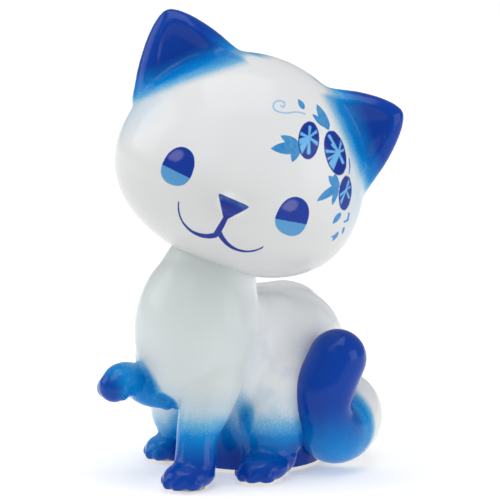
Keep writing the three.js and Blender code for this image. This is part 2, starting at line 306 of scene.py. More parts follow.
CUP_LEVELS = (0, 0.15, 0.3, 0.45, 0.6, 0.7, 0.78, 0.83, 0.85)
CUP_CLOSE = 0.86
CUP_TAPERS = (0.6, 0.5)
CUP_WIDTH = 0.72  # of the ear's width, at the ear's root
CUP_THICKNESS = 0.7  # of the ear's thickness, at the ear's root
CUP_AHEAD = 0.5  # of the ear's thickness, from the ear's middle to the cup's, at the ear's root
CUP_SLOPE = 0.235  # how much less that is at the ear's full height
CUP_START = (-0.2, 0.76)  # the cup's lowest level and its width there
EAR_BLEND = 1.16  # the skull level out to which an ear's root is smoothed into the head
EAR_BLEND_FALL = 12  # how fast the smoothing fades towards that level
EAR_BLEND_UP = 6 * MM  # the height over which it fades in


def head_axes():
    """The head's own frame: X to the viewer's right across the face, Y up through the crown, Z out of it."""
    turn = Matrix.Rotation(HEAD_TURN, 4, "Z")
    nod = Matrix.Rotation(math.pi / 2 - HEAD_NOD, 4, "X")
    axes = turn @ nod @ Matrix.Rotation(-HEAD_TILT, 4, "Z")
    above = Vector((HEAD_OFFSET, sizes().head_height / 2 - HEAD_SINK, HEAD_AHEAD))
    return Matrix.Translation(NECK_TOP + axes.to_3x3() @ above) @ axes


def skull():
    """An egg that is widest and squarest low down, at the head's own origin."""
    size = sizes()
    form = ball((0, 0, 0), (2, 2, 2), Matrix.Rotation(math.pi / 2, 4, "X"), steps=96)
    levels = sorted({round(vertex.co.y, 4) for vertex in form.data.vertices if vertex.co.y < 0})
    for level in levels:
        rim = math.sqrt(max(1 - level * level, 0))
        if rim < LEVEL_SLACK:
            continue
        fuller = (1 - abs(level) ** LOW_SQUARENESS) ** (1 / LOW_SQUARENESS) / rim
        pick(form, lambda co: abs(co.y - level) < LEVEL_SLACK)
        bpy.ops.transform.resize(value=(fuller, 1, fuller), center_override=(0, level, 0))
        bpy.ops.object.mode_set(mode="OBJECT")
    for above in (False, True):
        tall = size.head_height / 2 + (size.cheek_drop if above else -size.cheek_drop)
        pick(form, lambda co: (co.y > EQUATOR) == above)
        bpy.ops.transform.resize(value=(1, tall, 1), center_override=(0, 0, 0))
        bpy.ops.object.mode_set(mode="OBJECT")
    form.scale = (size.head_width / 2, 1, size.head_depth / 2)
    form.location = (0, -size.cheek_drop, 0)
    fix_place(form)
    for side in (-1, 1):
        place = Vector((MUZZLE.x + side * MUZZLE_HALF_GAP, MUZZLE.y, size.head_depth / 2))
        pull(form, place, (0, 0, MUZZLE_PULL), MUZZLE_REACH)
    return form


def ear(side):
    """An ear that tapers to a rounded tip, with a shallow cup in its front."""
    size = sizes()
    width, thickness, height = size.ear_width, size.ear_thickness, EAR_HEIGHT
    turn = Matrix.Rotation(-side * EAR_LEAN, 4, "Z") @ Matrix.Rotation(-math.pi / 2, 4, "X")
    root = Vector((side * EAR_ASIDE * size.head_width - EAR_OFFSET, EAR_UP * size.head_height, 0))
    rings = [(EAR_BURIED * height, 0, width, thickness)]
    for up in EAR_LEVELS:
        wide, thick = [(1 - up / EAR_CLOSE) ** taper for taper in EAR_TAPERS]
        rings.append((up * height, 0, wide * width, thick * thickness))
    form = horn(rings)
    start, start_width = CUP_START
    rings = [(start * height, CUP_AHEAD * thickness, start_width * width, CUP_THICKNESS * thickness)]
    for up in CUP_LEVELS:
        wide, thick = [(1 - up / CUP_CLOSE) ** taper for taper in CUP_TAPERS]
        ahead = (CUP_AHEAD - CUP_SLOPE * up) * thickness
        rings.append((up * height, ahead, CUP_WIDTH * wide * width, CUP_THICKNESS * thick * thickness))
    cup = horn(rings)
    for part in (form, cup):
        part.matrix_world = Matrix.Translation(root) @ turn
        fix_place(part)
    carve(form, cup)
    return form


def skull_level(place):
    """Where a place in the head's frame is on the skull: under 1 inside, over 1 outside."""
    size = sizes()
    up = (place.y + size.cheek_drop) / (size.head_height / 2 + size.cheek_drop)
    return Vector((2 * place.x / size.head_width, up, 2 * place.z / size.head_depth)).length


def at_ear_root(place):
    """How much the smoothing of the ears' roots counts at a place in the head's frame."""
    return min((EAR_BLEND - skull_level(place)) * EAR_BLEND_FALL, place.y / EAR_BLEND_UP)


def build_head():
    """Casts the head in its own frame, then turns it onto the neck."""
    nose = ball(NOSE, NOSE_SIZE, steps=32)
    piece = cast("kitten_head", [skull(), nose, ear(1), ear(-1)], rounding=9)
    soften(piece, rounds=50, where=at_ear_root)
    piece.matrix_world = head_axes()
    fix_place(piece)
    finish(piece, "white_glaze", head_paint(), "head_shell", "left_ear", "right_ear")


# ---- Body ----------------------------------------------------------------------------------------

FLANK_BALLS = (  # how far aside, back and up from the seat on both sides, and full sizes, in millimetres
    ((6, -1.5, 30), (23, 27, 28)),
    ((6.3, -11, 26), (18, 20, 32)),
    ((5.5, 9, 28), (28, 28, 31)),
)
FOOT_SIZE = Vector((11.4, 15, 7.2)) * MM
FOOT_SINK = 0.4 * MM  # how far its rounded form goes below the ground, before it is cut flat
FOOT_FORWARD = Vector((2.3, -0.5, 0)) * MM  # of the left hind foot, from the middle of its pad
TOE = Vector((3.5, 5.2, 3.9)) * MM
TOES = 4
TOE_PLACES = [(i + 0.5) / TOES - 0.5 for i in range(TOES)]  # across a paw, which goes from -0.5 to 0.5
TOE_SPREAD = 0.94  # of the foot's width
TOE_AHEAD = 0.38  # of the foot's length
TOE_CURVE = 1.28  # how far the outer toes stay back, for the foot's length and the square of the place
TOE_UP = 0.3  # of the foot's height
RAISED_TOE = Vector((3, 4, 5.2)) * MM
RAISED_TOE_PLACE = (2.6, -0.6)  # back and up, in millimetres, from the end of the paw
RAISED_TOE_CURVE = 6  # how far the outer toes stay back, for the square of the place
RAISED_PAW_WIDTH = 9
PAW_END = seat(-9.5, -45.44, 24)  # of the raised foreleg
ELBOW = seat(-1.5, -31, 19.3)  # of the raised foreleg
HAUNCH_SIZE = Vector((13, 15, 11.5)) * MM  # where the left haunch sinks onto its foot
VENT_SIZE = Vector((8.4, 8.4, 20)) * MM  # of the ball that the kiln vent is cut with
BLOCK = 0.2  # side of the cube that cuts a piece off flat
ABOVE_TOES = 5  # the level, in millimetres, over which the whole body is rounded once more
ANKLES = (5.5, 15)  # levels between which the legs run softly into the feet
RUMP_LEVELS = (14, 48)  # levels between which the back and the flanks are smoothed most
RUMP_FRONT = -18  # where they start, in millimetres back from the middle of the seat
SOFT_EDGE = 3  # millimetres over which a smoothed region fades in
RUMP_SOFT_EDGE = 4


def foot(place):
    """A standing paw: a rounded foot with a row of toes across its front."""
    ground = SEAT + Vector((place.x, place.y, 0))
    forms = [ball(ground + Vector((0, 0, FOOT_SIZE.z / 2 - FOOT_SINK)), FOOT_SIZE)]
    for across in TOE_PLACES:
        back = TOE_CURVE * across * across - TOE_AHEAD
        toe = Vector((TOE_SPREAD * across * FOOT_SIZE.x, back * FOOT_SIZE.y, TOE_UP * FOOT_SIZE.z))
        forms.append(ball(ground + toe, TOE, steps=24))
    return forms


def trunk():
    """The chest, belly, flanks, rump and neck."""
    forms = [ball(seat(0, -20.44, 36), Vector((32, 33, 43)) * MM)]
    forms.append(ball(seat(0, -5, 27), Vector((24, 34, 30)) * MM))
    for (aside, back, up), size in FLANK_BALLS:
        for side in (1, -1):
            forms.append(ball(seat(side * aside, back, up), Vector(size) * MM))
    forms.append(ball(seat(0, 3.5, 30.5), Vector((28, 26, 26)) * MM))
    forms += limb([
        (seat(0, 0, 8), 39 * MM),
        (seat(0, 1.5, 16), 39 * MM),
        (seat(0, 6.5, 25), 32.5 * MM),
        (seat(0, 12.4, 31.4), 26 * MM),
    ])
    forms += limb([
        (seat(0, -18.84, 36), 28 * MM),
        (seat(0, -18.84, 43), 28.4 * MM),
        (NECK_TOP, 21 * MM),
        (NECK_TOP + Vector((1, 1, 6)) * MM, 20 * MM),
    ])
    return forms


def standing_foreleg():
    """The left foreleg, straight down to its foot."""
    return [
        *limb([
            (seat(7, -22.9, 29), 17 * MM),
            (seat(7.7, -26.7, 20), 14 * MM),
            (seat(8.2, -30.7, 12.5), 10.6 * MM),
            (seat(9.3, -32.74, 6), 10.6 * MM),
        ]),
        *foot(FRONT_FOOT),
    ]


def raised_foreleg():
    """The right foreleg, held out, with a pointed elbow and its toes ahead."""
    forms = limb([
        (seat(-8, -22.9, 29), 17 * MM),
        (seat(-10, -26.4, 21.8), 11 * MM),
        (PAW_END + Vector((-0.5, 12.5, 0)) * MM, 9 * MM),
        (PAW_END + Vector((0, 6, 1)) * MM, 9 * MM),
        (PAW_END + Vector((0, 3.8, 0)) * MM, 8 * MM),
    ])
    forms += limb([
        (seat(-9, -31, 22.5), 9 * MM),
        (ELBOW + Vector((-3, -0.3, 1.4)) * MM, 7 * MM),
        (ELBOW, 4 * MM),
    ])
    back, up = RAISED_TOE_PLACE
    for across in TOE_PLACES:
        place = Vector((across * RAISED_PAW_WIDTH, back + RAISED_TOE_CURVE * across * across, up)) * MM
        forms.append(ball(PAW_END + place, RAISED_TOE, steps=24))
    return forms


def hind_leg(side, ground):
    """A folded hind leg, from the hip to its foot."""
    return [
        *limb([
            (seat(side * 10.2, 5, 30.6), 22.6 * MM),
            (seat(side * 12.2, -2.2, 22), 22.6 * MM),
            (seat(side * 13.6, -8.6, 12.6), 20 * MM),
        ]),
        *foot(ground),
    ]


def level_underside(piece):
    """Cuts a piece off flat, where it stands on its pads."""
    bpy.ops.object.select_all(action="DESELECT")
    bpy.ops.mesh.primitive_cube_add(size=BLOCK, location=(0, 0, BASE - BLOCK / 2))
    carve(piece, bpy.context.object)


def above_toes(place):
    """How much the rounding of all but the toes counts at a place."""
    return (place.z / MM - ABOVE_TOES) / SOFT_EDGE


def at_ankles(place):
    """How much the smoothing between legs and feet counts at a place."""
    low, high = ANKLES
    up = place.z / MM
    return min(up - low, high - up) / SOFT_EDGE


def at_rump(place):
    """How much the smoothing of the back and the flanks counts at a place."""
    low, high = RUMP_LEVELS
    up = place.z / MM
    return min((place.y - SEAT.y) / MM - RUMP_FRONT, up - low, high - up) / RUMP_SOFT_EDGE


def build_body():
    """Casts the trunk and the four legs as one skin, and cuts its underside flat with a vent in it."""
    forms = [*trunk(), *standing_foreleg(), *raised_foreleg()]
    forms += [*hind_leg(1, LEFT_FOOT + FOOT_FORWARD), *hind_leg(-1, RIGHT_FOOT)]
    forms.append(ball(seat(15.5, -11.5, 5), HAUNCH_SIZE))
    piece = cast("kitten_body", forms, rounding=3)
    soften(piece, rounds=9, where=above_toes)
    soften(piece, rounds=45, where=at_ankles)
    soften(piece, rounds=120, where=at_rump)
    level_underside(piece)
    carve(piece, ball(seat(0, 0, 5), VENT_SIZE))
    nodes = ["torso_shell", "left_foreleg", "right_foreleg", "left_hind_leg", "right_hind_leg"]
    finish(piece, "white_glaze", body_paint(), *nodes)


# ---- Tail ----------------------------------------------------------------------------------------

def build_tail():
    """Casts the tail, which leaves the seat's back, lies along the left side and curls up."""
    forms = limb([
        (seat(1, 10.56, 11.5), 19 * MM),
        (seat(11.5, 15.96, 11.2), 19 * MM),
        (seat(18.6, 12.56, 12), 22 * MM),
        (seat(24.5, 2.06, 11), 17.5 * MM),
        (seat(25.7, -2.6, 16), 14.2 * MM),
        (seat(26.1, -2.3, 22.3), 15 * MM),
        (seat(27.3, 0.74, 29.4), 14.8 * MM),
    ])
    piece = cast("kitten_tail", forms, rounding=10)
    level_underside(piece)
    finish(piece, "blue_glaze", tail_paint(), "tail")


# ---- Pads ----------------------------------------------------------------------------------------

PAD_EDGE = 0.2 * MM  # how wide its rim is rounded


def build_pads():
    """Fills each pad's box with a round pad."""
    material = felt()
    for side in ("front", "left", "right", "rear"):
        node = f"{side}_felt_pad"
        low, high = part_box(node)
        bpy.ops.object.select_all(action="DESELECT")
        bpy.ops.mesh.primitive_cylinder_add(
            vertices=96, radius=(high.x - low.x) / 2, depth=high.z - low.z, location=(low + high) / 2
        )
        pad = fix_place(bpy.context.object)
        pad.name = pad.data.name = f"pad_{side}"
        modify(pad, "BEVEL", width=PAD_EDGE, segments=3, limit_method="ANGLE")
        finish(pad, "felt", material, node)


# ---- Paint ---------------------------------------------------------------------------------------

GLAZE_ROUGHNESS = 0.14
GLAZE_SPECULAR = 0.21
RIPPLE_SIZE = 9  # how wide the unevenness of the glaze is, in millimetres
RIPPLE_DEPTH = 0.05 * MM
BISCUIT_ROUGHER = 0.6  # than the glaze
BISCUIT_LEVELS = (0.005, 0.02)  # heights above the underside, in millimetres, between which glaze starts
SPECKLE_SIZE = 0.4
SPECKLE = 0.5  # how strongly droplets change a spray
CLOUD_SIZE = 4
CLOUD = 0.14  # how strongly wide patches change it


class Value:
    """A socket that Python's operators work on: each adds the node that does the sum."""

    def __init__(self, paint, socket):
        self.paint = paint
        self.socket = socket

    def sum(self, operation, *others, **settings):
        return self.paint.node("ShaderNodeMath", self, *others, operation=operation, **settings)

    def __add__(self, other):
        return self.sum("ADD", other)

    def __sub__(self, other):
        return self.sum("SUBTRACT", other)

    def __mul__(self, other):
        return self.sum("MULTIPLY", other)

    def __truediv__(self, other):
        return self.sum("DIVIDE", other)

    def __pow__(self, other):
        return self.sum("POWER", other)

    def __neg__(self):
        return self.sum("MULTIPLY", -1)

    def __rsub__(self, other):
        return self.paint.node("ShaderNodeMath", other, self, operation="SUBTRACT")

    def __rtruediv__(self, other):
        return self.paint.node("ShaderNodeMath", other, self, operation="DIVIDE")

    __radd__ = __add__
    __rmul__ = __mul__

    def __abs__(self):
        return self.sum("ABSOLUTE")

    def minimum(self, other):
        return self.sum("MINIMUM", other)

    def maximum(self, other):
        return self.sum("MAXIMUM", other)

    def clamped(self):
        return self.sum("ADD", 0, use_clamp=True)

    def fall(self, start, end):
        """1 up to start, falling smoothly to 0 at end."""
        return self.paint.node("ShaderNodeMapRange", self, start, end, 1, 0, interpolation_type="SMOOTHSTEP")

    def rise(self, start, end):
        """0 up to start, rising smoothly to 1 at end."""
        return self.paint.node("ShaderNodeMapRange", self, start, end, 0, 1, interpolation_type="SMOOTHSTEP")


class Paint:
    """A material's nodes, made by calls."""

    def __init__(self, name):
        self.material = bpy.data.materials.new(name)
        self.material.use_nodes = True
        self.tree = self.material.node_tree
        self.shader = self.tree.nodes["Principled BSDF"]
        place = self.tree.nodes.new("ShaderNodeTexCoord").outputs["Object"]
        self.place = Value(self, place)

    def node(self, kind, *inputs, output=0, named=None, **settings):
        """Adds a node, sets it, gives its inputs values or links in order, and returns one output."""
        made = self.tree.nodes.new(kind)
        for name, value in settings.items():
            setattr(made, name, value)
        for key, value in [*enumerate(inputs), *(named or {}).items()]:
            if isinstance(value, Value):
                self.tree.links.new(value.socket, made.inputs[key])
            else:
                made.inputs[key].default_value = value
        return Value(self, made.outputs[output])

    def vector(self, operation, *inputs, output=0):
        """Adds a node that works on vectors; output 1 is a length or another number."""
        return self.node("ShaderNodeVectorMath", *inputs, operation=operation, output=output)

    def axes(self, vector):
        """The three parts of a vector."""
        made = self.tree.nodes.new("ShaderNodeSeparateXYZ")
        self.tree.links.new(vector.socket, made.inputs[0])
        return [Value(self, socket) for socket in made.outputs]

    def seen_from(self, place, origin, turn, unit):
        """A place in a frame with its own origin, turn and unit along each axis."""
        return self.node("ShaderNodeMapping", place, origin, turn, unit, vector_type="TEXTURE")

    def in_frame(self, matrix):
        """A place seen from a frame, in millimetres."""
        return self.seen_from(self.place, matrix.to_translation(), matrix.to_euler(), (MM, MM, MM))

    def noise(self, size, detail=2, roughness=0.5):
        """Noise round 0 with features of a size in millimetres."""
        named = {"Scale": 1 / (size * MM), "Detail": detail, "Roughness": roughness}
        return self.node("ShaderNodeTexNoise", self.place, named=named) - 0.5

    def away(self, place, spot):
        """How far a place is from a spot."""
        return self.vector("LENGTH", self.vector("SUBTRACT", place, spot), output=1)

    def beside(self, place, start, end):
        """Where a place is along a line, from 0 to 1, and how far it is from it."""
        way = Vector(end) - Vector(start)
        off = self.vector("SUBTRACT", place, start)
        share = (self.vector("DOT_PRODUCT", off, way, output=1) / way.length_squared).clamped()
        foot = self.node("ShaderNodeVectorMath", way, operation="SCALE", named={"Scale": share})
        return share, self.away(off, foot)

    def mix(self, share, first, second):
        """A colour that goes from first to second with the share."""
        return self.node(
            "ShaderNodeMix", data_type="RGBA", output=2,
            named={0: share, 6: self.shade(first), 7: self.shade(second)},
        )

    @staticmethod
    def shade(tone):
        """A colour as a mix takes it: a link as it is, three numbers with a fourth."""
        return tone if isinstance(tone, Value) else (*tone, 1)

    def feed(self, name, value):
        """Gives the shader's input a value or a link."""
        if isinstance(value, Value):
            self.tree.links.new(value.socket, self.shader.inputs[name])
        else:
            self.shader.inputs[name].default_value = value

    def ripple(self, height, distance):
        """The small unevenness of a glaze or a felt, as a bump."""
        named = {"Strength": 1.0, "Distance": distance, "Height": height}
        bump = self.node("ShaderNodeBump", named=named)
        self.feed("Normal", bump)


def glazed(name):
    """A clear gloss glaze over paint."""
    paint = Paint(name)
    paint.feed("Roughness", GLAZE_ROUGHNESS)
    paint.feed("Specular IOR Level", GLAZE_SPECULAR)
    paint.ripple(paint.noise(RIPPLE_SIZE, detail=1), RIPPLE_DEPTH)
    return paint


def airbrush(paint, base, density):
    """Sprays blue over a base: haze at a quarter of the density, azure at half of it, cobalt at all of it.

    Between bare and full the spray is speckled and a little cloudy.
    """
    tones = colours()
    speckle = paint.noise(SPECKLE_SIZE, detail=3, roughness=0.75)
    cloud = paint.noise(CLOUD_SIZE)
    thin = (density * (1 - density) * 4).clamped()
    sprayed = density + speckle * thin * SPECKLE + cloud * thin * CLOUD
    hazy = paint.mix((sprayed * 4).clamped(), base, tones.haze)
    skin = paint.mix((sprayed * 4 - 1).clamped(), hazy, tones.azure)
    return paint.mix((sprayed * 2 - 1).clamped(), skin, tones.cobalt)


WOBBLE_SIZE = 1.5  # how far apart the unsteady places of an edge are, in millimetres
WOBBLE = 0.15
PETAL_POWERS = (0.5, 0.8)  # of a petal's curve from its root and to its tip
PETAL_HALF = 0.82  # of its width, before the curve
PETAL_SLACK = 0.02  # keeps both powers' bases over 0


class Brush:
    """Paints flat shapes, in the head's millimetres, onto the front of the head."""

    def __init__(self, paint, local, skin):
        self.paint = paint
        self.skin = skin
        self.x, self.y, depth = paint.axes(local)
        self.front = depth.rise(0, 2)
        self.flat = paint.vector("MULTIPLY", local, (1, 1, 0))
        self.wobble = paint.noise(WOBBLE_SIZE) * WOBBLE

    def fill(self, inside, tone, soft=0.1):
        """Paints where a distance inwards from an edge is over 0, with a hand's unsteadiness."""
        mask = (inside + self.wobble).rise(-soft, soft) * self.front
        self.skin = self.paint.mix(mask, self.skin, tone)

    def oval(self, centre, half, turn=0):
        """An oval's own frame, in which its edge is 1 from the middle."""
        return self.paint.seen_from(self.flat, (*centre, 0), (0, 0, math.radians(turn)), (*half, 1))

    def in_oval(self, centre, half, turn=0):
        """How far inside an oval a place is, in millimetres."""
        radius = self.paint.vector("LENGTH", self.oval(centre, half, turn), output=1)
        return (1 - radius) * min(half)

    def in_stroke(self, start, end, first, last):
        """How far inside a straight stroke, whose width goes from first to last."""
        share, off = self.paint.beside(self.flat, (*start, 0), (*end, 0))
        return share * ((last - first) / 2) + first / 2 - off

    def in_petal(self, start, end, width):
        """How far inside a petal that is pointed at both ends and widest near its start."""
        share, off = self.paint.beside(self.flat, (*start, 0), (*end, 0))
        root, tip = PETAL_POWERS
        half = (share + PETAL_SLACK) ** root * (1 + PETAL_SLACK - share) ** tip * (width * PETAL_HALF)
        return half - off

    def line(self, points, width, tone):
        """Paints one stroke through several points."""
        strokes = [self.in_stroke(a, b, width, width) for a, b in zip(points, points[1:])]
        inside = strokes[0]
        for stroke in strokes[1:]:
            inside = inside.maximum(stroke)
        self.fill(inside, tone)


EYES = (  # middle, and slope of the lid line
    ((-14.1, -8.0), -0.06),
    ((16.2, -8.05), 0.24),
)
EYE_HALF = (3.75, 4.8)
EYE_MEAN_HALF = 4.2
EYE_SQUARENESS = 2.3  # 2 is round
EYE_WIDE = 1.02  # of its half width, at its middle
EYE_EGG = 0.1  # how much less that is at its top
LID_DROP = 1.4  # from the eye's middle to the lid line
GLINT_PLACE = Vector((-1.6, 2.1))  # of its middle, from the eye's
GLINT_HALF = (1.35, 1.9)
GLINT_TURN = -45
GLINT_FLOOR = (0.1, 0.9)  # slope and height, from the eye's middle, of the line that cuts it off below
GLINT_MARGIN = 0.5  # from the eye's edge


def paint_eye(brush, centre, slope):
    """An egg-shaped eye: dark above a lid line and light below it, with a soft glint."""
    tones = colours()
    x, y = centre
    u, v, _ = brush.paint.axes(brush.oval(centre, EYE_HALF))
    wide = abs(u / (EYE_WIDE - v * EYE_EGG))
    radius = (wide ** EYE_SQUARENESS + abs(v) ** EYE_SQUARENESS) ** (1 / EYE_SQUARENESS)
    inside = (1 - radius) * EYE_MEAN_HALF
    brush.fill(inside, tones.sky)
    shade = brush.paint.mix(brush.paint.noise(3) + 0.5, tones.violet, tones.cobalt)
    line = brush.y - (brush.x - x) * slope - (y - LID_DROP)
    brush.fill(inside.minimum(line), shade)
    glint = brush.in_oval(Vector(centre) + GLINT_PLACE, GLINT_HALF, GLINT_TURN)
    tilt, level = GLINT_FLOOR
    wedge = brush.y - (brush.x - x) * tilt - (y + level)
    brush.fill(glint.minimum(wedge).minimum(inside - GLINT_MARGIN), tones.glint, soft=0.4)


NOSE_EDGES = (  # a place on each edge of the nose's triangle, and the way inwards from it
    ((0, -10.1), (0, -1)),
    ((-2.0, -11.1), (0.81, 0.584)),
    ((5.1, -11.2), (-0.778, 0.629)),
)
NOSE_ROUNDING = 1.2
NOSE_TOP = (-11.8, -10.6)  # levels between which it gets lighter
NOSE_LIGHT = 0.2


def paint_nose(brush):
    """A rounded triangle, lighter along its top."""
    tones = colours()
    paint = brush.paint
    edges = [(brush.x - x) * right + (brush.y - y) * up for (x, y), (right, up) in NOSE_EDGES]
    inside = edges[0]
    for edge in edges[1:]:
        inside = paint.node("ShaderNodeMath", inside, edge, NOSE_ROUNDING, operation="SMOOTH_MIN")
    tone = paint.mix(brush.y.rise(*NOSE_TOP) * NOSE_LIGHT, tones.violet, tones.sky)
    brush.fill(inside, tone)


MOUTH_STEM = ((1.5, -14.6), (1.0, -19.2), 1.2, 1.6)  # ends, and the widths there
MOUTH_MIDDLE = 1.0
MOUTH_TOP = -15.8
SMILE = (  # side, middle and radius of its arc, and where its corner is
    (-1, (-3.7, -14.2), 7.1, -10.7),
    (1, (6.6, -13.6), 7.3, 12.6),
)
SMILE_HALF = (0.18, 0.5)  # half widths: at a corner, and how much is added towards the middle
SMILE_TAPER = 1.6
SMILE_OVERLAP = 0.3  # of the two arcs, at the middle


def paint_mouth(brush):
    """A stem below the nose that parts into a wide smile."""
    inside = brush.in_stroke(*MOUTH_STEM)
    thin, more = SMILE_HALF
    for side, centre, radius, corner in SMILE:
        along = ((brush.x - corner) / (MOUTH_MIDDLE - corner)).clamped()
        off = abs(brush.paint.away(brush.flat, (*centre, 0)) - radius)
        arc = along ** SMILE_TAPER * more + thin - off
        past_middle = (brush.x - MOUTH_MIDDLE) * side + SMILE_OVERLAP
        arc = arc.minimum((brush.x - corner) * -side).minimum(past_middle)
        inside = inside.maximum(arc.minimum(MOUTH_TOP - brush.y))
    brush.fill(inside, colours().violet)


FLOWERS = (  # middle, half sizes, turn, middle of the star, ends and widths of its rays
    ((12.4, 10.5), (2.6, 4.7), 19, (12.2, 11.2), (
        ((13.8, 14.2), 0.8), ((11.4, 13.6), 0.7), ((9.9, 11.2), 0.8), ((9.9, 8.6), 1.5), ((11.4, 6.7), 1.7),
        ((13.6, 7.7), 0.9), ((14.6, 10.6), 0.9),
    )),
    ((19.6, 10.4), (2.6, 5.6), 36, (20.3, 10.9), (
        ((16.6, 13.6), 0.7), ((19.8, 14.3), 0.6), ((22.4, 13.4), 0.8), ((22.3, 9.0), 0.7), ((19.9, 6.5), 1.9),
        ((18.2, 7.7), 0.6), ((17.3, 9.8), 0.8), ((18.2, 11.9), 0.7),
    )),
    ((25.8, 2.4), (1.6, 4.3), 18, (25.7, 3.2), (
        ((27.3, 6.3), 0.5), ((25.4, 6.0), 0.5), ((24.4, 0.5), 0.6), ((25.7, -1.2), 0.6), ((27.1, 1.8), 0.5),
    )),
)
LEAVES = (  # root, tip, width
    ((10.9, 7.8), (4.9, 4.9), 4.2),
    ((10.4, 8.4), (5.8, 8.7), 3.0),
    ((10.6, 7.8), (10.8, 4.0), 2.8),
    ((15.6, 15.2), (10.8, 19.5), 3.0),
    ((14.8, 15.4), (10.8, 16.8), 2.0),
    ((23.5, 3.3), (20.2, -2.2), 2.7),
    ((23.4, 3.0), (24.0, -1.6), 1.8),
    ((23.6, 3.1), (20.4, 4.5), 3.0),
    ((23.0, 2.6), (21.6, 5.6), 2.6),
    ((8.2, 17.2), (6.1, 18.8), 1.9),
    ((26.7, -2.6), (26.0, -5.7), 1.7),
    ((29.0, -5.3), (29.2, -7.1), 0.8),
    ((28.1, -7.0), (27.6, -9.7), 1.1),
    ((28.0, -8.0), (26.9, -8.9), 0.8),
)
TENDRIL = (  # the places that its stroke goes through
    (2.8, 15.5), (3.5, 15.4), (3.7, 15.9), (3.3, 16.6), (2.4, 16.7), (1.6, 16.3), (1.0, 15.4), (1.2, 14.5),
    (2.0, 13.9), (3.3, 13.9), (4.9, 14.4), (6.2, 15.3), (7.6, 15.9), (9.0, 16.1),
)
STALKS = (  # places, width
    (((23.3, 10.6), (24.2, 9.0), (24.8, 7.2)), 0.3),
    (((28.7, -1.7), (29.1, -3.3), (28.5, -4.1)), 0.45),
)
TENDRIL_WIDTH = 0.42
LEAF_MOTTLE = 2.2  # how strongly middle blue and light blue part on the leaves
FLOWER_MOTTLE = 2
RAY_START = 0.5  # of a ray's width, at the middle of its star
RAY_MARGIN = 0.3  # from a ray's end to the flower's edge, at least


def paint_flower(brush, centre, half, turn, star, rays):
    """An open bindweed flower: a dark disc with a light star on it."""
    tones = colours()
    inside = brush.in_oval(centre, half, turn)
    patches = brush.paint.noise(2, detail=3) * FLOWER_MOTTLE + 0.3
    brush.fill(inside, brush.paint.mix(patches, tones.violet, tones.cobalt))
    for end, width in rays:
        ray = brush.in_stroke(star, end, width * RAY_START, width)
        brush.fill(ray.minimum(inside - RAY_MARGIN), tones.star, soft=0.18)


def paint_flowers(brush):
    """The spray of flowers and leaves below the left ear."""
    tones = colours()
    brush.line(TENDRIL, TENDRIL_WIDTH, tones.mist)
    for places, width in STALKS:
        brush.line(places, width, tones.leaf)
    tone = brush.paint.mix(brush.paint.noise(1.4) * LEAF_MOTTLE + 0.5, tones.leaf, tones.sky)
    for root, tip, width in LEAVES:
        brush.fill(brush.in_petal(root, tip, width), tone)
    for flower in FLOWERS:
        paint_flower(brush, *flower)


EARS_MIDDLE = 1.2  # the line between the ears, across the face, in millimetres
EAR_SPRAY = (0.55, 0.45)  # densities of an ear's first spray and of the second over it
CUP_EDGE = (22.7, 0.13)  # height at the head's middle, and slope, of the lower edge of the ears' cups
PALE_EDGE_GLAZE_AND_HIGHLIGHT = 0.3  # less density along that edge: partly thinner glaze, partly a painted highlight
OVERSPRAY = 0.09  # density of what drifts past the ears


def head_paint():
    """White with painted shade greying down the face, ears sprayed blue, and what is painted on the front."""
    tones = colours()
    paint = glazed("painted_head_glaze")
    local = paint.in_frame(head_axes())
    x, y, z = paint.axes(local)
    ear_way = abs(x - EARS_MIDDLE) * math.sin(EAR_LEAN) + y * math.cos(EAR_LEAN)
    height, slope = CUP_EDGE
    # Paler along the cups' edge: partly the glaze thinning there, partly a painted highlight of the lamp
    # above.
    edge = abs(y - height - abs(x) * slope).fall(0.3, 1.8) * ear_way.fall(24, 37) * z.rise(-1, 2)
    first, second = EAR_SPRAY
    spray = ear_way.rise(22, 27) * first + ear_way.rise(25.5, 33) * second - edge * PALE_EDGE_GLAZE_AND_HIGHLIGHT
    drift = abs(x).rise(19, 31) * ear_way.rise(12, 23) * OVERSPRAY
    # Painted shade: the face greys towards the chin and the lower cheeks, on the front only.
    painted_shade_low_front = (y - x * 0.1).fall(-20, 2) * z.rise(-14, 4)
    base = paint.mix(painted_shade_low_front, tones.porcelain, tones.shade)
    brush = Brush(paint, local, airbrush(paint, base, (spray + drift).clamped()))
    for centre, slope in EYES:
        paint_eye(brush, centre, slope)
    paint_mouth(brush)
    paint_nose(brush)
    paint_flowers(brush)
    paint.feed("Base Color", brush.skin)
    return paint.material


def unglazed(paint, skin, height):
    """Paints a skin, and leaves the flat underside as matt fired clay."""
    bare = height.fall(*BISCUIT_LEVELS)
    paint.feed("Base Color", paint.mix(bare, skin, colours().biscuit))
    paint.feed("Roughness", bare * BISCUIT_ROUGHER + GLAZE_ROUGHNESS)


RAISED_WRIST = (-10.5, -27.5, 19)  # where the spray along the raised foreleg starts
RAISED_ELBOW = (-9, -32, 22.5)  # where the spray to its elbow starts
ARM_DENSITY = 0.56  # of the spray on the raised foreleg
CLAWS_DENSITY = 0.4  # more on its toes
GROUND_SPRAY = (0.9, 0.1)  # densities of the spray from the ground and of its thin fringe
FRONT_HIGHER = 2  # how much higher that spray reaches on the standing foreleg, in millimetres
RIGHT_LOWER = 5  # how much lower it stays on the right
FOLD = (13, -19.5, 13)  # the hollow between the left haunch and the chest, where spray gathers
FOLD_HALF = (5, 5.5, 11)
FOLD_DENSITY = 0.5
BACK = (-24, -10)  # between them, counted back from the seat, the chest's greenish white turns into the flanks' brighter white, which is painted light
DRIFT_SIZE = 5  # how wide the patches of drifted spray are, in millimetres
BACK_DRIFT = 0.3  # how dense they get on the back
TAIL_DRIFT = 0.15


